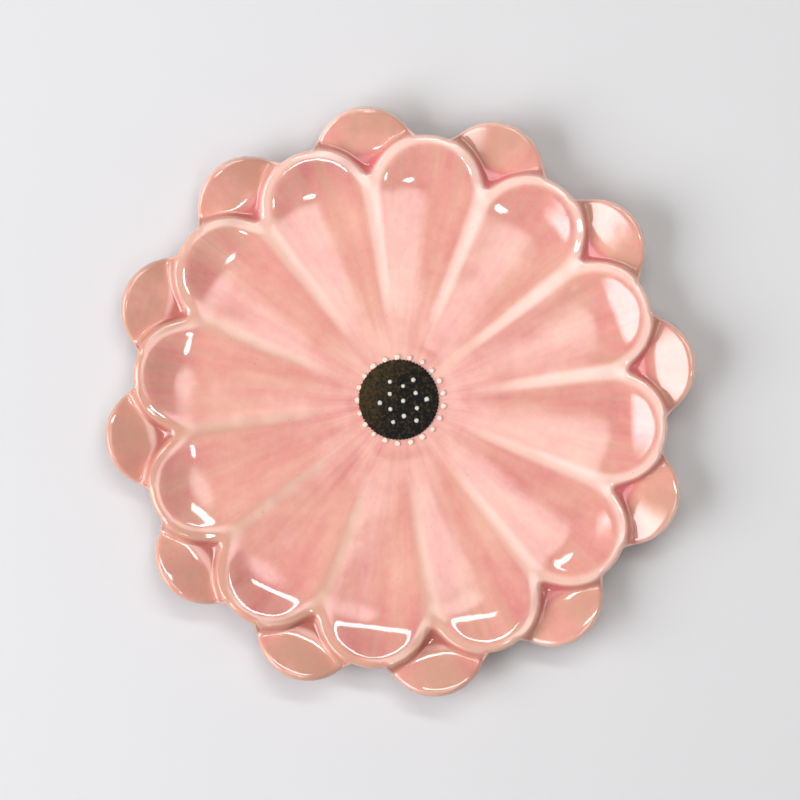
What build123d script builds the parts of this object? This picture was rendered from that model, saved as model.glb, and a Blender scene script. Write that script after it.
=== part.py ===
"""Ceramic flower mixing palette in millimetres, +Z up.

A cast dish with twelve long petal wells and twelve short outer wells, a dark button seated in its
centre, trailed slip dots on and around the button, and a foot ring seated in the underside.
The origin is under the middle of the dish, on the plane the foot rests on.
"""

from build123d import *
from math import asin, cos, hypot, pi, radians, sin, sqrt
import os

# ---- driving dimensions ----------------------------------------------------------------------------
PETALS = 12
PITCH = radians(360 / PETALS)
FIRST_WELL = 23.0  # direction of the first long well, in degrees
TIP_R = 82.5  # reach of the short outer petals

# long wells: a shallow wedge from the centre that ends in a round head
HEAD_AT = 58.8  # distance of the head's centre
HEAD_R = 13.5  # radius of the head's crest line
HUB_FLOOR_Z, WELL_FLOOR_Z = 9.0, 8.8  # floor beside the button and at its deepest
END_AT, END_SLOPE, END_BLEND = 62.0, 0.35, 5.5  # the floors turn up together into one round end wall
RIB_FROM, RIB_TO, RIB_RISE = 15.0, 66.0, 1.7  # the ribs between the wells grow over these radii
RIB_BLEND = 0.55
CURL, CURL_IN, CURL_SPAN = 0.075, 2.2, 4.0  # a crest curls over, from inside its line and over this width
CURL_FROM, CURL_TO, CURL_BLEND = 58.0, 67.0, 5.0  # it starts to at these radii
WEB = 1.7  # width of the rib's top beyond the crest line
OUTER_SLOPE = 3.2  # fall of the long petals' outer side
NOTCH_BLEND, FOOT_BLEND, SHOULDER = 16.0, 1.8, 1.2  # roundings of that side: corner, foot and top

# short outer petals: a low pocket behind the long ones, then a plate that climbs to the rim
OUTER_AT = 67.7  # distance of the plate's centre
OUTER_R = TIP_R - OUTER_AT
POCKET_Z = 8.4
FOLD_R, FOLD_BOW, FOLD_BLEND = 70.0, 11.5, 2.0  # fold between the two, and how much further its ends lie
PLATE_SLOPE = 0.43

# shell
EDGE = 1.2  # how far the rounded rim reaches inwards
RIM_SLOPE, RIM_ROUND = 0.35, 1.0  # the climbing ground levels out over the last bit before the rim
WALL = 4.6  # wall, measured upright
HUB_R = 15.0  # flat middle of the upper side
BASE_Z = 4.0  # flat middle of the underside
UNDER_FLAT_R, UNDER_FREE_R = 46.0, 64.0
NECK_R = 15.7  # outline round a long petal's tip
NECK_BLEND = 2.4
NECK_MARGIN = 2.0  # least ground between a well and the rim
CORNER_R = 61.0  # the corner between two long wells

# foot ring
FOOT_IN_R, FOOT_OUT_R = 38.0, 43.0
FOOT_GROOVE = 0.5
FOOT_ROUND = 0.8

# centre button, a little off the middle of the dish
BUTTON_AT = (-0.5, 0.5)
BUTTON_R = 11.2
BUTTON_SEAT = 1.0
BUTTON_TOP_Z = 9.7
BUTTON_ROUND = 0.35
TEETH = 72
TOOTH_DEPTH = 0.22
FIT = 0.1  # room round a seated piece

# trailed dots: each one a low dome
COLLAR_BEADS = 21
COLLAR_AT = (0.05, 0.4)
COLLAR_R = 12.0
BEAD_R = 0.82
BUTTON_DOT_RINGS = ((1, 0.0, 0.0), (6, 4.2, 33.0), (6, 6.5, 4.5))  # count, radius, first angle
DOTS_AT = (1.3, -0.4)
DOT_R = 0.66
DOME_SHARE = 0.7  # height of a dome over its radius

# sampling of the surface
WELL_STATIONS, OUTER_STATIONS, RIM_STATIONS, UNDER_STATIONS = 32, 30, 8, 30
SECTIONS = 19


# ---- shape of the dish -----------------------------------------------------------------------------
def soft_min(a, b, blend):
    """The lower of two heights, rounded where they meet."""
    near = max(blend - abs(a - b), 0) / blend
    return min(a, b) - near * near * blend / 4


def soft_max(a, b, blend):
    return -soft_min(-a, -b, blend)


def smooth_step(low, high, x):
    t = min(max((x - low) / (high - low), 0), 1)
    return t * t * (3 - 2 * t)


def outline(phi):
    """Reach of the rim: round outer petals joined past the long petals' tips."""
    psi = PITCH / 2 - phi
    outer = OUTER_AT * cos(psi) + sqrt(max(OUTER_R**2 - (OUTER_AT * sin(psi)) ** 2, 0))
    neck = HEAD_AT * cos(phi) + sqrt(max(NECK_R**2 - (HEAD_AT * sin(phi)) ** 2, 0))
    return soft_max(outer, neck, NECK_BLEND)


def well_level(r, phi):
    """0 on a long well's axis, 1 on its crest line and more beyond it."""
    x, y = r * cos(phi), r * sin(phi)
    if r * r <= HEAD_AT * x:
        return sin(phi) * HEAD_AT / HEAD_R
    return hypot(x - HEAD_AT, y) / HEAD_R


def bowl(level):
    """Share of a rib's height up a well's cross section: round along the axis, straighter at the crest."""
    level = min(level, 2)
    return level * level * (3 - level) / 2


def beyond_crest(r, phi):
    """Distance outside a long well's crest line."""
    x, y = r * cos(phi), r * sin(phi)
    half = asin(HEAD_R / HEAD_AT)
    if x * cos(half) + y * sin(half) <= HEAD_AT * cos(half):
        return r * sin(phi - half)
    return hypot(x - HEAD_AT, y) - HEAD_R


def floor_z(r):
    """Height along a long well's axis, from the hub to the top of its end wall."""
    floor = HUB_FLOOR_Z + (WELL_FLOOR_Z - HUB_FLOOR_Z) * smooth_step(HUB_R, HEAD_AT, r)
    return floor + END_SLOPE * soft_max(r - END_AT, 0, END_BLEND)


def curled(beyond):
    """Square of the distance into the strip where a long petal's crest curls over."""
    return soft_min(max(beyond + CURL_IN, 0), CURL_SPAN, 1.5) ** 2


def outer_ground_z(r, phi):
    """Height behind the long petals: a flat pocket, then the climbing plate."""
    fold = FOLD_R + FOLD_BOW * (1 - 2 * phi / PITCH) ** 2
    return POCKET_Z + PLATE_SLOPE * soft_max(r - fold, 0, FOLD_BLEND)


def top_z(r, phi, soften=1.0):
    """Height of the upper surface, from phi = 0 on a long well's axis to half a pitch on a rib."""
    turns = (phi, PITCH - phi)
    floor = floor_z(r)
    rib = RIB_RISE * smooth_step(RIB_FROM, RIB_TO, r)
    crest = floor + rib
    blend = soften * min(0.5 * rib + 0.01, RIB_BLEND)
    walls = [floor + rib * bowl(well_level(r, turn)) for turn in turns]
    curls = [curled(beyond_crest(r, turn)) for turn in turns]
    curl = CURL * smooth_step(CURL_FROM, CURL_TO, r) * soft_min(*curls, CURL_BLEND)
    wells = soft_min(soft_min(*walls, blend), crest, blend) - curl
    sides = [crest - OUTER_SLOPE * (beyond_crest(r, turn) - WEB) for turn in turns]
    outside = soft_max(soft_max(*sides, NOTCH_BLEND), outer_ground_z(r, phi), FOOT_BLEND * soften)
    past = RIM_ROUND - min(max(outline(phi) - EDGE - r, 0), RIM_ROUND)
    return soft_min(wells, outside, SHOULDER * soften) - RIM_SLOPE * past * past / (2 * RIM_ROUND)


def under_z(r, phi):
    """Height of the underside, which leaves the flat base and then follows the petals."""
    follow = soft_max(BASE_Z, top_z(r, phi, soften=2.0) - WALL, 1.5)
    return BASE_Z + smooth_step(UNDER_FLAT_R, UNDER_FREE_R, r) * (follow - BASE_Z)


# ---- dish ------------------------------------------------------------------------------------------
def crest_reach(phi):
    """Where a meridian leaves the long wells: on the head's crest line, or in the corner beside it."""
    head = HEAD_AT * cos(phi) + sqrt(max(HEAD_R**2 - (HEAD_AT * sin(phi)) ** 2, 0))
    return soft_max(head, CORNER_R, 3.0)


def meridian_curve(phi, height, start, end, steps, flat_end=False):
    """A smooth edge over evenly spaced radii, with the surface's own slope at its ends."""

    def at(r, z):
        return Vector(r * cos(phi), r * sin(phi), z)

    def heading(r):
        rise = (height(r + 0.01, phi) - height(r - 0.01, phi)) / 0.02
        return at(1, rise).normalized()

    shares = [i / steps for i in range(steps + 1)]
    radii = [start + (end - start) * share for share in shares]
    ends = [heading(start), at(1, 0) if flat_end else heading(end)]
    return Edge.make_spline([at(r, height(r, phi)) for r in radii], tangents=ends, parameters=shares)


def rim_curve(phi, start, high, low):
    """Half an ellipse round the edge of the dish."""
    middle, half = (high + low) / 2, (high - low) / 2
    shares = [i / RIM_STATIONS for i in range(RIM_STATIONS + 1)]
    around = [(start + EDGE * sin(pi * share), middle + half * cos(pi * share)) for share in shares]
    points = [Vector(r * cos(phi), r * sin(phi), z) for r, z in around]
    outward = Vector(cos(phi), sin(phi), 0)
    return Edge.make_spline(points, tangents=[outward, -outward], parameters=shares)


def section(phi):
    """The dish's skin in one direction: the well, the ground beyond it, the rim and the underside."""
    rim = outline(phi) - EDGE
    crest = min(crest_reach(phi), rim - NECK_MARGIN)
    well = meridian_curve(phi, top_z, HUB_R, crest, WELL_STATIONS)
    beyond = meridian_curve(phi, top_z, crest, rim, OUTER_STATIONS, flat_end=True)
    edge = rim_curve(phi, rim, top_z(rim, phi), under_z(rim, phi))
    under = meridian_curve(phi, under_z, UNDER_FLAT_R, rim, UNDER_STATIONS, flat_end=True)
    return Wire([well, beyond, edge, under])


def flat_cap(faces, radius, z):
    """The flat face inside the circle where the skin ends."""
    ends = [
        edge
        for face in faces
        for edge in face.edges()
        if all(hypot(v.X, v.Y) < radius + 0.1 and abs(v.Z - z) < 0.1 for v in edge.vertices())
    ]
    return Face(Wire(ends))


def petal_dish():
    """Half a petal's skin, mirrored and turned all the way round, closed by two flat discs."""
    turns = [PITCH / 4 * (1 - cos(pi * i / (SECTIONS - 1))) for i in range(SECTIONS)]
    half = Shell.make_loft([section(phi) for phi in turns]).faces()
    petal = list(half) + [face.mirror(Plane.XZ) for face in half]
    skin = [face.rotate(Axis.Z, FIRST_WELL + 360 / PETALS * k) for k in range(PETALS) for face in petal]
    caps = [flat_cap(skin, HUB_R, HUB_FLOOR_Z), flat_cap(skin, UNDER_FLAT_R, BASE_Z)]
    return Solid(Shell(skin + caps)) - button_seat() - foot_groove()


def button_seat():
    seat = Cylinder(BUTTON_R + FIT, 10, align=(Align.CENTER, Align.CENTER, Align.MIN))
    return Pos(*BUTTON_AT, HUB_FLOOR_Z - BUTTON_SEAT) * seat


def tube(inner, outer, low, high):
    upright = (Align.CENTER, Align.CENTER, Align.MIN)
    body = Cylinder(outer, high - low, align=upright) - Cylinder(inner, high - low, align=upright)
    return Pos(0, 0, low) * body


def foot_groove():
    return tube(FOOT_IN_R - FIT, FOOT_OUT_R + FIT, BASE_Z - 1, BASE_Z + FOOT_GROOVE)


# ---- seated pieces ---------------------------------------------------------------------------------
def foot_ring():
    """Its top sits on the groove's floor and its lower edges are rounded."""
    ring = tube(FOOT_IN_R, FOOT_OUT_R, 0, BASE_Z + FOOT_GROOVE)
    return fillet(ring.edges().group_by(Axis.Z)[0], FOOT_ROUND)


def centre_button():
    """A round button with a finely toothed edge and a softened rim."""
    low = HUB_FLOOR_Z - BUTTON_SEAT
    blank = Cylinder(BUTTON_R, BUTTON_TOP_Z - low, align=(Align.CENTER, Align.CENTER, Align.MIN))
    blank = chamfer(blank.edges().group_by(Axis.Z)[-1], BUTTON_ROUND)
    notch = Cylinder(TOOTH_DEPTH, 20)
    notches = [loc * notch for loc in PolarLocations(BUTTON_R, TEETH)]
    return Pos(*BUTTON_AT, low) * (blank - notches)


def dome(radius):
    """A low round cap standing on z = 0."""
    height = DOME_SHARE * radius
    ball_r = (radius**2 + height**2) / (2 * height)
    ball = Pos(0, 0, height - ball_r) * Sphere(ball_r)
    return ball & Cylinder(2 * radius, height, align=(Align.CENTER, Align.CENTER, Align.MIN))


def button_dots():
    """One dot in the middle and two staggered rings of six."""
    spots = [
        Pos(*BUTTON_AT, BUTTON_TOP_Z) * Pos(*DOTS_AT) * spot
        for count, radius, start in BUTTON_DOT_RINGS
        for spot in PolarLocations(radius, count, start_angle=start)
    ]
    return [spot * dome(DOT_R) for spot in spots]


def collar_dots():
    """Beads round the button. Those that meet it are shaped by its edge."""
    keep_out = Pos(*BUTTON_AT, 0) * Cylinder(BUTTON_R + FIT, 2 * BUTTON_TOP_Z)
    ring = Pos(*COLLAR_AT, HUB_FLOOR_Z)
    spots = PolarLocations(COLLAR_R, COLLAR_BEADS, start_angle=9.0)
    return [ring * spot * dome(BEAD_R) - keep_out for spot in spots]


if __name__ == "__main__":
    os.makedirs("parts", exist_ok=True)
    export_step(petal_dish(), "parts/petal_dish.step")
    export_step(foot_ring(), "parts/foot_ring.step")
    export_step(centre_button(), "parts/centre_button.step")
    export_step(Compound(children=button_dots()), "parts/button_dots.step")
    export_step(Compound(children=collar_dots()), "parts/collar_dots.step")
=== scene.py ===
"""Looks of a ceramic flower palette: glazed dish, dark clay button, trailed slip dots and dry foot."""

from math import cos, pi, radians, sin, sqrt

import bpy
import numpy as np
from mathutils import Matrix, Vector, noise


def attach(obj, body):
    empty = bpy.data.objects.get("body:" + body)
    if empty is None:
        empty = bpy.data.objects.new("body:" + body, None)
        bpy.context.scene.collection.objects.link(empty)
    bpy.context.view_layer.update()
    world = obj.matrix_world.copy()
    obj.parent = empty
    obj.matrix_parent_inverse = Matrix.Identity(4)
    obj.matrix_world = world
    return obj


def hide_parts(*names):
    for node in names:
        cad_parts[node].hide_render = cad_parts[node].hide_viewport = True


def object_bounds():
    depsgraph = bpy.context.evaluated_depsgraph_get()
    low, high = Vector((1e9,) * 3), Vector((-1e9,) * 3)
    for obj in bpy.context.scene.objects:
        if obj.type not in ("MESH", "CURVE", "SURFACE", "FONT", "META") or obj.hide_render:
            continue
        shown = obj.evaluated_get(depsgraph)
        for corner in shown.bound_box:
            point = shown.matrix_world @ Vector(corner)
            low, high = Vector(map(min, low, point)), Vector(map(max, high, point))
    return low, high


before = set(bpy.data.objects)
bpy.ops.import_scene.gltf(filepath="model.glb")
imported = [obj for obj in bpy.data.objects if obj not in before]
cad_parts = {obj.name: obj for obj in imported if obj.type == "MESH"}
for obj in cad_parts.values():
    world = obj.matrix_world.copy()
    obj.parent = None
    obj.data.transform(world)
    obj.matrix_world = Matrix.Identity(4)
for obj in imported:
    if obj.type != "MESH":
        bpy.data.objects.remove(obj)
cad_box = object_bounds()

MM = 0.001

# ---- the dish's shape, in millimetres: the same one the CAD model is built from ---------------------
PETALS = 12
PITCH = radians(360 / PETALS)
FIRST_WELL = radians(23)
HEAD_AT, HEAD_R = 58.8, 13.5
HUB_FLOOR_Z, WELL_FLOOR_Z = 9.0, 8.8
END_AT, END_SLOPE, END_BLEND = 62.0, 0.35, 5.5
RIB_FROM, RIB_TO, RIB_RISE, RIB_BLEND = 15.0, 66.0, 1.7, 0.55
CURL, CURL_IN, CURL_SPAN = 0.075, 2.2, 4.0  # the crests curl over outwards
CURL_FROM, CURL_TO, CURL_BLEND = 58.0, 67.0, 5.0
WEB = 1.7  # top of a rib beyond the crest line
OUTER_SLOPE, NOTCH_BLEND, FOOT_BLEND, SHOULDER = 3.2, 16.0, 1.8, 1.2
OUTER_AT, OUTER_R = 67.7, 14.8
POCKET_Z = 8.4
FOLD_R, FOLD_BOW, FOLD_BLEND = 70.0, 11.5, 2.0
PLATE_SLOPE = 0.43
EDGE = 1.2
RIM_SLOPE, RIM_ROUND = 0.35, 1.0
WALL = 4.6
HUB_R = 15.0
BASE_Z = 4.0
UNDER_FLAT_R, UNDER_FREE_R = 46.0, 64.0
NECK_R, NECK_BLEND, NECK_MARGIN = 15.7, 2.4, 2.0
CORNER_R = 61.0
WAVES = ((17, 0.16, 0.3), (7, 0.05, 4.1))  # width and height of the glaze's waves, and where they start

# ---- trailed drops: the middle of their rings, then each ring's count, radius and first angle --------
BUTTON_TOP_Z = 9.7
COLLAR_AT, COLLAR = (0.05, 0.4), ((21, 12.0, 9.0),)
DOTS_AT, DOTS = (0.8, 0.1), ((1, 0.0, 0.0), (6, 4.2, 33.0), (6, 6.5, 4.5))
BEAD_R, DOT_R = 0.82, 0.66
DROP_HEIGHT = 0.7  # over its radius
DROP_STRAY = 0.2  # how far a drop may lie from its place, along X and along Y
DROP_SEED = 1
DROP_SINK = 0.02  # how far it reaches into what it stands on

# ---- mesh density ----------------------------------------------------------------------------------
COLUMNS = 576
WELL_ROWS, OUTER_ROWS, RIM_ROWS, UNDER_ROWS = 56, 36, 10, 22
HUB_ROWS_AT = (3.0, 7.0, 11.0, 13.0)  # radii of the rows on the flat parts of both sides
BASE_ROWS_AT = (43.0, 38.0, 20.0)
DROP_SIDES, DROP_ROWS = 24, 8

# ---- stage, in metres ------------------------------------------------------------------------------
CAMERA_RISE = 0.9  # above the top of the dish
VIEW_WIDTH = 0.2211  # what the picture shows at that distance
VIEW_SHIFT = (-0.00014, 0.0004)
SENSOR_MM = 36
LIGHT_DISTANCE = 1.3
TABLE_HALF = 2.0


def soft_min(a, b, blend):
    """The lower of two heights, rounded where they meet."""
    near = np.maximum(blend - np.abs(a - b), 0) / blend
    return np.minimum(a, b) - near * near * blend / 4


def soft_max(a, b, blend):
    return -soft_min(-a, -b, blend)


def smooth_step(low, high, x):
    t = np.clip((x - low) / (high - low), 0, 1)
    return t * t * (3 - 2 * t)


def from_well_axis(theta):
    """Angle to the nearest long well's axis, without its sign."""
    turn = (theta - FIRST_WELL) % PITCH
    return np.minimum(turn, PITCH - turn)


def outline(phi):
    psi = PITCH / 2 - phi
    outer = OUTER_AT * np.cos(psi) + np.sqrt(np.maximum(OUTER_R**2 - (OUTER_AT * np.sin(psi)) ** 2, 0))
    neck = HEAD_AT * np.cos(phi) + np.sqrt(np.maximum(NECK_R**2 - (HEAD_AT * np.sin(phi)) ** 2, 0))
    return soft_max(outer, neck, NECK_BLEND)


def well_level(r, phi):
    """0 on a long well's axis, 1 on its crest line and more beyond it."""
    x, y = r * np.cos(phi), r * np.sin(phi)
    wedge = np.sin(phi) * HEAD_AT / HEAD_R
    return np.where(r * r <= HEAD_AT * x, wedge, np.hypot(x - HEAD_AT, y) / HEAD_R)


def bowl(level):
    """Share of a rib's height up a well's cross section: round along the axis, straighter at the crest."""
    level = np.minimum(level, 2)
    return level * level * (3 - level) / 2


def beyond_crest(r, phi):
    """Distance outside a long well's crest line."""
    x, y = r * np.cos(phi), r * np.sin(phi)
    half = np.arcsin(HEAD_R / HEAD_AT)
    in_wedge = x * cos(half) + y * sin(half) <= HEAD_AT * cos(half)
    return np.where(in_wedge, r * np.sin(phi - half), np.hypot(x - HEAD_AT, y) - HEAD_R)


def fold_at(phi):
    """Radius where an outer petal starts to climb."""
    return FOLD_R + FOLD_BOW * (1 - 2 * phi / PITCH) ** 2


def curled(beyond):
    """Square of the distance into the strip where a long petal's crest curls over."""
    return soft_min(np.maximum(beyond + CURL_IN, 0), CURL_SPAN, 1.5) ** 2


def outer_ground_z(r, phi):
    """Height behind the long petals: a flat pocket, then the climbing outer petal."""
    return POCKET_Z + PLATE_SLOPE * soft_max(r - fold_at(phi), 0, FOLD_BLEND)


def top_z(r, phi, soften=1.0):
    """Height of the upper surface."""
    turns = (phi, PITCH - phi)
    floor = HUB_FLOOR_Z + (WELL_FLOOR_Z - HUB_FLOOR_Z) * smooth_step(HUB_R, HEAD_AT, r)
    floor = floor + END_SLOPE * soft_max(r - END_AT, 0, END_BLEND)
    rib = RIB_RISE * smooth_step(RIB_FROM, RIB_TO, r)
    crest = floor + rib
    blend = soften * np.minimum(0.5 * rib + 0.01, RIB_BLEND)
    walls = [floor + rib * bowl(well_level(r, turn)) for turn in turns]
    curls = [curled(beyond_crest(r, turn)) for turn in turns]
    curl = CURL * smooth_step(CURL_FROM, CURL_TO, r) * soft_min(*curls, CURL_BLEND)
    wells = soft_min(soft_min(*walls, blend), crest, blend) - curl
    sides = [crest - OUTER_SLOPE * (beyond_crest(r, turn) - WEB) for turn in turns]
    outside = soft_max(soft_max(*sides, NOTCH_BLEND), outer_ground_z(r, phi), FOOT_BLEND * soften)
    past = RIM_ROUND - np.clip(outline(phi) - EDGE - r, 0, RIM_ROUND)
    return soft_min(wells, outside, SHOULDER * soften) - RIM_SLOPE * past * past / (2 * RIM_ROUND)


def under_z(r, phi):
    """Height of the underside."""
    follow = soft_max(BASE_Z, top_z(r, phi, soften=2.0) - WALL, 1.5)
    return BASE_Z + smooth_step(UNDER_FLAT_R, UNDER_FREE_R, r) * (follow - BASE_Z)


# ---- small helpers ---------------------------------------------------------------------------------
def new_object(name, data, material=None):
    piece = bpy.data.objects.new(name, data)
    bpy.context.scene.collection.objects.link(piece)
    if material:
        data.materials.append(material)
    return piece


def smooth_mesh(name, points, faces):
    mesh = bpy.data.meshes.new(name)
    mesh.from_pydata(points, [], faces)
    mesh.polygons.foreach_set("use_smooth", [True] * len(mesh.polygons))
    mesh.update()
    return mesh


def add_attribute(mesh, name, values):
    layer = mesh.attributes.new(name, "FLOAT", "POINT")
    layer.data.foreach_set("value", np.asarray(values, np.float32))


class Nodes:
    """Short ways to add and join shader nodes."""

    def __init__(self, name):
        self.material = bpy.data.materials.new(name)
        self.material.use_nodes = True
        self.tree = self.material.node_tree
        self.shader = self.tree.nodes["Principled BSDF"]

    def add(self, kind, inputs=None, **settings):
        node = self.tree.nodes.new(kind)
        for key, value in settings.items():
            setattr(node, key, value)
        for key, value in (inputs or {}).items():
            self.feed(node.inputs[key], value)
        return node

    def feed(self, socket, value):
        if isinstance(value, bpy.types.NodeSocket):
            self.tree.links.new(value, socket)
        else:
            socket.default_value = value

    def set(self, **values):
        for key, value in values.items():
            self.feed(self.shader.inputs[key.replace("_", " ")], value)

    def math(self, operation, a, b=0.0, clamp=False):
        return self.add("ShaderNodeMath", {0: a, 1: b}, operation=operation, use_clamp=clamp).outputs[0]

    def spread(self, value, low, high, to_low=0.0, to_high=1.0):
        """Maps low..high smoothly to to_low..to_high."""
        inputs = {"Value": value, "From Min": low, "From Max": high, "To Min": to_low, "To Max": to_high}
        return self.add("ShaderNodeMapRange", inputs, interpolation_type="SMOOTHSTEP").outputs[0]

    def mix(self, share, a, b):
        """Between colours a and b."""
        node = self.add("ShaderNodeMix", data_type="RGBA")
        self.feed(node.inputs["Factor"], share)
        self.feed(node.inputs[6], a)
        self.feed(node.inputs[7], b)
        return node.outputs[2]

    def place(self):
        return self.add("ShaderNodeTexCoord").outputs["Object"]

    def cloud(self, size_mm, detail=2.0, roughness=0.5, seed=0.0):
        """Noise from 0 to 1 with blotches about size_mm across."""
        inputs = {"Scale": 1 / (size_mm * MM), "Detail": detail, "Roughness": roughness, "W": seed}
        inputs["Vector"] = self.place()
        return self.add("ShaderNodeTexNoise", inputs, noise_dimensions="4D").outputs["Fac"]

    def along(self, x, y):
        """Distance from the middle in a direction, weighted by x and y."""
        inputs = {0: self.place(), 1: (x, y, 0)}
        return self.add("ShaderNodeVectorMath", inputs, operation="DOT_PRODUCT").outputs["Value"]

    def value(self, name):
        return self.add("ShaderNodeAttribute", attribute_name=name).outputs["Fac"]

    def bump(self, height, depth_mm, under=None):
        inputs = {"Height": height, "Distance": depth_mm * MM, "Strength": 1.0}
        if under:
            inputs["Normal"] = under
        return self.add("ShaderNodeBump", inputs).outputs[0]


def rgb(red, green, blue):
    """A shader colour from the 0 to 255 shades seen on screen."""
    shades = [c / 255 for c in (red, green, blue)]
    return [c / 12.92 if c <= 0.04045 else ((c + 0.055) / 1.055) ** 2.4 for c in shades] + [1.0]


# ---- materials -------------------------------------------------------------------------------------
GLAZE_BY_DEPTH = (  # from thin to thick
    (0.0, (234, 184, 162)),
    (0.4, (226, 164, 146)),
    (0.65, (220, 148, 136)),
    (1.0, (204, 120, 116)),
)


def radial_streaks(n, streaks, stretch_mm, detail, roughness):
    """Noise from 0 to 1 that varies round the dish and only slowly outwards."""
    flat = n.add("ShaderNodeVectorMath", {0: n.place(), 1: (1, 1, 0)}, operation="MULTIPLY").outputs[0]
    heading = n.add("ShaderNodeVectorMath", {0: flat}, operation="NORMALIZE").outputs[0]
    ring = n.add("ShaderNodeVectorMath", {0: heading, "Scale": streaks}, operation="SCALE").outputs[0]
    out = n.add("ShaderNodeVectorMath", {0: flat}, operation="LENGTH").outputs["Value"]
    far = n.add("ShaderNodeCombineXYZ", {"Z": n.math("DIVIDE", out, stretch_mm * MM)}).outputs[0]
    where = n.add("ShaderNodeVectorMath", {0: ring, 1: far}, operation="ADD").outputs[0]
    inputs = {"Vector": where, "Scale": 1.0, "Detail": detail, "Roughness": roughness}
    return n.add("ShaderNodeTexNoise", inputs).outputs["Fac"]


def ramp(n, share, stops):
    """A colour looked up between stops of (share, shade)."""
    node = n.add("ShaderNodeValToRGB", {"Fac": share})
    elements = node.color_ramp.elements
    while len(elements) < len(stops):
        elements.new(0.5)
    for element, (position, shade) in zip(elements, stops):
        element.position = position
        element.color = rgb(*shade)
    return node.outputs["Color"]


def pink_glaze():
    """Translucent pink glaze: thin and cream where the clay stands proud, deep pink where it pools;
    painted light makes pools and proud parts lighter towards one side, and painted shade makes them darker
    towards the other.
    """
    n = Nodes("pink_glaze")
    crest, pocket, outer, edge, end = (n.value(key) for key in ("crest", "pocket", "outer", "edge", "end"))
    streaks = radial_streaks(n, 9.0, 34.0, detail=3.0, roughness=0.55)
    fine_streaks = radial_streaks(n, 26.0, 60.0, detail=2.0, roughness=0.5)
    blotches = n.cloud(17.0, detail=2.0, seed=3.0)
    mottle = n.cloud(2.2, detail=3.0, roughness=0.6, seed=8.0)
    patches = n.spread(n.cloud(11.0, detail=3.0, roughness=0.6, seed=6.0), 0.38, 0.6, 0.1, 0.75)
    painted_light_side = n.along(1.0, 0.8)  # painted light and shade: lighter towards one side of the dish, darker towards the other

    thick = n.math("ADD", 0.5, n.math("MULTIPLY", end, 0.10))
    for noise_value, weight in ((streaks, 1.0), (blotches, 1.0), (mottle, 0.4)):
        thick = n.math("ADD", thick, n.math("MULTIPLY", n.math("SUBTRACT", noise_value, 0.5), weight))
    tan = n.math("MULTIPLY", n.spread(fine_streaks, 0.48, 0.62), n.spread(end, 0.0, 1.0, 0.12, 0.55))
    colour = n.mix(tan, ramp(n, thick, GLAZE_BY_DEPTH), rgb(210, 158, 134))
    colour = n.mix(n.math("MULTIPLY", outer, patches), colour, rgb(204, 154, 130))
    # pooled glaze in the pockets, with painted shade: darker towards one side, lighter towards the other
    pooled_and_side_shaded = n.mix(n.spread(painted_light_side, -70 * MM, 50 * MM), rgb(172, 96, 84), rgb(216, 112, 114))
    colour = n.mix(n.math("MULTIPLY", pocket, 0.9), colour, pooled_and_side_shaded)
    proud = n.math("MAXIMUM", n.math("MULTIPLY", crest, 0.75), n.math("MULTIPLY", edge, 0.8))
    # thin cream glaze on proud parts, with painted light: lighter towards one side, darker towards the
    # other
    thin = n.mix(n.spread(painted_light_side, -70 * MM, 60 * MM), rgb(206, 158, 134), rgb(248, 212, 196))
    colour = n.mix(proud, colour, thin)

    cells = {"Vector": n.place(), "Scale": 1 / (7.5 * MM)}
    crackle = n.add("ShaderNodeTexVoronoi", cells, feature="DISTANCE_TO_EDGE").outputs["Distance"]
    line = n.spread(crackle, 0.006, 0.022, 1.0, 0.0)
    colour = n.mix(n.math("MULTIPLY", line, 0.06), colour, rgb(176, 118, 96))
    pits = n.spread(n.cloud(0.8, detail=0.0, seed=5.0), 0.79, 0.84)
    colour = n.mix(n.math("MULTIPLY", pits, 0.25), colour, rgb(150, 92, 74))

    peel = n.bump(n.cloud(6.0, detail=1.0, seed=1.0), 0.10)
    dimples = n.bump(n.math("SUBTRACT", 1.0, pits), 0.02, peel)
    n.set(Base_Color=colour, Roughness=0.07, Normal=dimples, IOR=1.7)
    n.set(Subsurface_Weight=0.12, Subsurface_Radius=(1.0, 0.45, 0.3), Subsurface_Scale=0.0025)
    return n.material


def dark_clay():
    """Grainy near-black slip, browner towards one side of its edge."""
    n = Nodes("dark_clay")
    grain = n.cloud(0.9, detail=3.0, roughness=0.75)
    patches = n.cloud(3.5, detail=3.0, roughness=0.65, seed=2.0)
    # browner towards one side of the button's edge, broken up in patches
    browner_side = n.math("ADD", n.along(-1.0, 0.35), n.math("MULTIPLY", patches, 22 * MM))
    brown = n.spread(browner_side, 10 * MM, 23 * MM)
    colour = n.mix(brown, rgb(12, 12, 12), rgb(58, 46, 22))
    colour = n.mix(n.spread(grain, 0.5, 0.62, 0.0, 0.6), colour, rgb(78, 60, 34))
    colour = n.mix(n.spread(grain, 0.48, 0.38, 0.0, 0.75), colour, rgb(6, 6, 7))
    rough = n.spread(grain, 0.3, 0.7, 0.6, 0.85)
    n.set(Base_Color=colour, Roughness=rough, IOR=1.25, Normal=n.bump(grain, 0.2))
    return n.material


def slip(name, shade, foot_shade):
    """Trailed slip: a satin drop, stained towards its foot by what it stands on."""
    n = Nodes(name)
    grain = n.cloud(0.35, detail=3.0, roughness=0.6)
    stain = n.math("ADD", n.value("foot"), n.spread(grain, 0.35, 0.75, -0.1, 0.35), clamp=True)
    colour = n.mix(stain, rgb(*shade), rgb(*foot_shade))
    n.set(Base_Color=colour, Roughness=n.spread(grain, 0.3, 0.7, 0.25, 0.45), Normal=n.bump(grain, 0.04))
    n.set(Subsurface_Weight=0.1, Subsurface_Radius=(1.0, 0.8, 0.6), Subsurface_Scale=0.0008)
    return n.material


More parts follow.
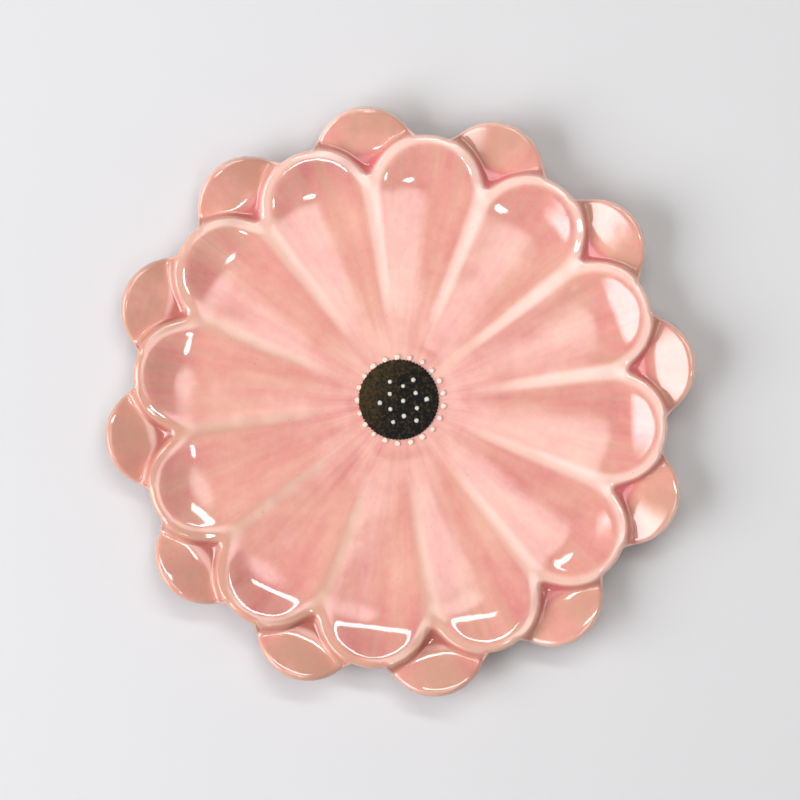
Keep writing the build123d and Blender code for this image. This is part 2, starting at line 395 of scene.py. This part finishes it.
def dry_foot():
    """Unglazed buff clay, with grog specks and turning marks."""
    n = Nodes("dry_foot")
    specks = n.spread(n.cloud(0.7, detail=2.0, seed=4.0), 0.62, 0.7)
    tone = n.cloud(9.0, detail=3.0)
    marks = n.add(
        "ShaderNodeTexWave",
        {"Vector": n.place(), "Scale": 420.0, "Distortion": 1.5, "Detail": 1.0},
        wave_type="RINGS",
        rings_direction="Z",
    ).outputs["Fac"]
    colour = n.mix(n.spread(tone, 0.3, 0.7), rgb(222, 203, 176), rgb(201, 176, 146))
    colour = n.mix(n.math("MULTIPLY", specks, 0.5), colour, rgb(140, 108, 82))
    scratch = n.bump(marks, 0.03, n.bump(n.cloud(0.5, detail=3.0), 0.06))
    n.set(Base_Color=colour, Roughness=0.85, Normal=scratch)
    return n.material


def pale_table():
    n = Nodes("pale_table")
    tone = n.cloud(300.0, detail=2.0)
    n.set(Base_Color=n.mix(tone, rgb(208, 207, 205), rgb(213, 212, 211)), Roughness=0.9)
    return n.material


# ---- the dish --------------------------------------------------------------------------------------
def crest_reach(phi):
    """Where a column leaves the long wells: on the head's crest line, or in the corner beside it."""
    head = HEAD_AT * np.cos(phi) + np.sqrt(np.maximum(HEAD_R**2 - (HEAD_AT * np.sin(phi)) ** 2, 0))
    return soft_max(head, CORNER_R, 3.0)


def unevenness(x, y):
    """The slight waviness of hand-finished clay."""
    return sum(tall * noise.noise(Vector((x / wide, y / wide, slice_z))) for wide, tall, slice_z in WAVES)


def dish_rows(theta):
    """Radius and height along every row of the mesh, from the middle over the rim to the base.

    Also gives the number of rows that count as the upper side.
    """
    phi = from_well_axis(theta)
    rim = outline(phi) - EDGE
    crest = np.minimum(crest_reach(phi), rim - NECK_MARGIN)
    flat = np.ones_like(phi)
    hub = [(flat * r, flat * HUB_FLOOR_Z) for r in HUB_ROWS_AT]
    radii = [HUB_R + (crest - HUB_R) * i / WELL_ROWS for i in range(WELL_ROWS)]
    radii += [crest + (rim - crest) * i / OUTER_ROWS for i in range(OUTER_ROWS)]
    top = [(r, top_z(r, phi)) for r in radii]
    high, low = top_z(rim, phi), under_z(rim, phi)
    turns = [pi * i / RIM_ROWS for i in range(RIM_ROWS)]
    edge = [(rim + EDGE * sin(t), (high + low) / 2 + (high - low) / 2 * cos(t)) for t in turns]
    radii = [rim + (UNDER_FLAT_R - rim) * i / UNDER_ROWS for i in range(UNDER_ROWS + 1)]
    under = [(r, under_z(r, phi)) for r in radii]
    base = [(flat * r, flat * BASE_Z) for r in BASE_ROWS_AT]
    return hub + top + edge + under + base, len(hub) + len(top) + RIM_ROWS // 2


def glaze_zones(r, phi):
    """How much each place is on a crest, in a pocket, on an outer petal, at the rim or at a well's end."""
    out = beyond_crest(r, phi)
    grown = smooth_step(17, 34, r)
    inside = smooth_step(-1.3, 0.5, out)
    outer = smooth_step(WEB + 0.2, WEB + 1.3, out) * smooth_step(62.5, 64.5, r)
    fold = fold_at(phi)
    to_rim = outline(phi) - r
    return {
        "crest": inside * grown * (1 - outer),
        "pocket": outer * (1 - smooth_step(fold - 2.2, fold + 1.2, r)),
        "outer": outer,
        "edge": 1 - smooth_step(0.3, 1.6, to_rim),
        "end": smooth_step(50, 62, r) * (1 - outer),
    }


def petal_dish():
    """The whole glazed dish as one smooth skin."""
    theta = np.arange(COLUMNS) * 2 * pi / COLUMNS
    rows, upper_rows = dish_rows(theta)
    points = []
    for index, (r, z) in enumerate(rows):
        x, y = r * np.cos(theta), r * np.sin(theta)
        lift = [unevenness(*place) for place in zip(x, y)] if HUB_R < r[0] else np.zeros(COLUMNS)
        points.append(np.stack([x, y, z + np.array(lift) * (index < upper_rows)], axis=1))
    last = len(rows) * COLUMNS
    points.append(np.array([[0, 0, HUB_FLOOR_Z], [0, 0, BASE_Z]]))
    points = np.concatenate(points)

    def at(row, column):
        return row * COLUMNS + column % COLUMNS

    faces = [
        (at(row, c), at(row + 1, c), at(row + 1, c + 1), at(row, c + 1))
        for row in range(len(rows) - 1)
        for c in range(COLUMNS)
    ]
    faces += [(last, at(0, c), at(0, c + 1)) for c in range(COLUMNS)]
    faces += [(at(len(rows) - 1, c + 1), at(len(rows) - 1, c), last + 1) for c in range(COLUMNS)]
    mesh = smooth_mesh("petal_dish_glazed", points * MM, faces)

    x, y = points[:, 0], points[:, 1]
    r, phi = np.hypot(x, y), from_well_axis(np.arctan2(y, x))
    upper = np.arange(len(points)) < upper_rows * COLUMNS
    for name, values in glaze_zones(r, phi).items():
        add_attribute(mesh, name, np.where(upper, values, 0))
    dish = new_object("petal_dish_glazed", mesh, pink_glaze())
    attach(dish, "root")
    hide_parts("petal_dish")


def drop_spots(middle, rings):
    """Where the drops of some rings were set down, by a slightly unsteady hand."""
    noise.seed_set(DROP_SEED)  # or noise_vector would start from the clock
    spots = []
    for count, radius, start in rings:
        for number in range(count):
            turn = radians(start + 360 / count * number)
            stray = noise.noise_vector(Vector((number * 2.3, radius, 0.7)))
            x, y = middle[0] + radius * cos(turn), middle[1] + radius * sin(turn)
            spots.append((x + DROP_STRAY * stray.x, y + DROP_STRAY * stray.y))
    return spots


def drop_points(number, x, y, size, stand_z):
    """Rings of points up one uneven drop, then its top."""
    reach = size * (1 + 0.2 * noise.noise(Vector((number * 3.7, 0.5, size))))
    points = []
    for row in range(DROP_ROWS):
        share = row / DROP_ROWS
        z = stand_z + DROP_HEIGHT * size * (1 - (1 - share) ** 2) - DROP_SINK
        for side in range(DROP_SIDES):
            turn = 2 * pi * side / DROP_SIDES
            lump = 1 + 0.22 * noise.noise(Vector((cos(turn), sin(turn), number * 5.3 + share)))
            out = reach * lump * sqrt(1 - share * share)
            points.append((x + out * cos(turn), y + out * sin(turn), z))
    return points + [(x, y, stand_z + DROP_HEIGHT * size)]


def drop_faces(start):
    """The skin over one drop's points, of which the first has number start."""
    rows = [[start + row * DROP_SIDES + side for side in range(DROP_SIDES)] for row in range(DROP_ROWS)]
    top = start + DROP_ROWS * DROP_SIDES
    faces = []
    for low, high in zip(rows, rows[1:]):
        faces += [(low[i - 1], low[i], high[i], high[i - 1]) for i in range(DROP_SIDES)]
    faces += [(rows[-1][i - 1], rows[-1][i], top) for i in range(DROP_SIDES)]
    return faces + [rows[0][::-1]]


def trailed_drops(node, spots, size, stand_z, material):
    """Uneven drops of slip, in place of the CAD model's plain caps."""
    points, faces, foot = [], [], []
    for number, (x, y) in enumerate(spots):
        faces += drop_faces(len(points))
        points += drop_points(number, x, y, size, stand_z)
        foot += [1 - row / DROP_ROWS for row in range(DROP_ROWS) for _ in range(DROP_SIDES)] + [0]
    name = node + "_trailed"
    mesh = smooth_mesh(name, [Vector(point) * MM for point in points], faces)
    add_attribute(mesh, "foot", foot)
    drops = new_object(name, mesh, material)
    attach(drops, "root")
    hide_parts(node)


def repaint(node, material):
    """Gives a CAD node its finish."""
    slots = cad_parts[node].data.materials
    slots.clear()
    slots.append(material)


# ---- camera, table and lights ----------------------------------------------------------------------
def aim(thing, azimuth, elevation):
    """Puts a light in that direction from the dish, facing it."""
    flat = LIGHT_DISTANCE * cos(radians(elevation))
    x, y = flat * cos(radians(azimuth)), flat * sin(radians(azimuth))
    thing.location = (x, y, LIGHT_DISTANCE * sin(radians(elevation)))
    thing.rotation_euler = (-thing.location).to_track_quat("-Z", "Y").to_euler()


def panel(name, azimuth, elevation, width, height, radiance):
    """A rectangular light."""
    data = bpy.data.lights.new(name, "AREA")
    data.shape = "RECTANGLE"
    data.size, data.size_y = width, height
    data.energy = radiance * pi * width * height
    aim(new_object(name, data), azimuth, elevation)
    return data


def rectangle(half_width, half_height):
    x, y = half_width, half_height
    return [(-x, -y, 0), (x, -y, 0), (x, y, 0), (-x, y, 0)]


def glowing_sheet(n, corners, colour, strength):
    """A sheet that gives off light and doesn't show in the picture itself."""
    glow = n.add("ShaderNodeEmission", {"Color": colour, "Strength": strength})
    n.tree.links.new(glow.outputs[0], n.tree.nodes["Material Output"].inputs["Surface"])
    name = n.material.name
    sheet = new_object(name, smooth_mesh(name, corners, [range(len(corners))]), n.material)
    sheet.visible_camera = False
    return sheet


def softbox(name, azimuth, elevation, width, height, radiance):
    """A large sheet, brightest along its lower half and fading out at its top and ends."""
    n = Nodes(name)
    across = n.add("ShaderNodeSeparateXYZ", {"Vector": n.place()}).outputs
    top = n.spread(across["Y"], height * 0.4, height * 0.2)
    ends = n.spread(n.math("ABSOLUTE", across["X"]), width * 0.5, width * 0.2)
    strength = n.math("MULTIPLY", n.math("MULTIPLY", top, ends), radiance)
    sheet = glowing_sheet(n, rectangle(width / 2, height / 2), (0.98, 0.99, 1.05, 1.0), strength)
    aim(sheet, azimuth, elevation)


def ceiling_glow(name, azimuth, elevation, radius, radiance):
    """A soft round patch of light overhead, brightest in its middle."""
    n = Nodes(name)
    out = n.add("ShaderNodeVectorMath", {0: n.place()}, operation="LENGTH").outputs["Value"]
    strength = n.spread(out, radius * 0.25, radius, radiance, 0.0)
    ring = [(radius * cos(pi * i / 16), radius * sin(pi * i / 16), 0) for i in range(32)]
    aim(glowing_sheet(n, ring, (1.0, 0.97, 0.97, 1.0), strength), azimuth, elevation)


def set_up_camera():
    low, high = cad_box
    middle = (low + high) / 2
    camera = new_object("camera", bpy.data.cameras.new("camera"))
    camera.location = (middle.x + VIEW_SHIFT[0], middle.y + VIEW_SHIFT[1], high.z + CAMERA_RISE)
    camera.data.sensor_width = SENSOR_MM
    camera.data.lens = SENSOR_MM * CAMERA_RISE / VIEW_WIDTH
    bpy.context.scene.camera = camera


def set_the_stage():
    table = smooth_mesh("table", rectangle(TABLE_HALF, TABLE_HALF), [(0, 1, 2, 3)])
    new_object("table", table, pale_table())

    world = bpy.data.worlds.new("world")
    world.use_nodes = True
    background = world.node_tree.nodes["Background"].inputs
    background["Color"].default_value = (0.95, 0.97, 1.0, 1)
    background["Strength"].default_value = 0.15
    bpy.context.scene.world = world
    bpy.context.scene.view_settings.view_transform = "Standard"

    softbox("window", azimuth=194, elevation=41, width=1.5, height=1.1, radiance=7.0)
    ceiling_glow("ceiling", azimuth=30, elevation=77, radius=0.46, radiance=3.6)
    panel("strip", azimuth=80, elevation=61, width=1.0, height=0.13, radiance=13.0)
    panel("lamp", azimuth=300, elevation=68, width=0.19, height=0.13, radiance=14.0).shape = "ELLIPSE"
    panel("side", azimuth=345, elevation=25, width=0.2, height=0.6, radiance=2.5)


set_up_camera()
set_the_stage()
petal_dish()
repaint("foot_ring", dry_foot())
repaint("centre_button", dark_clay())
white = slip("white_slip", (214, 216, 205), (120, 112, 96))
cream = slip("cream_slip", (246, 220, 202), (238, 180, 162))
trailed_drops("button_dots", drop_spots(DOTS_AT, DOTS), DOT_R, BUTTON_TOP_Z, white)
trailed_drops("collar_dots", drop_spots(COLLAR_AT, COLLAR), BEAD_R, HUB_FLOOR_Z, cream)
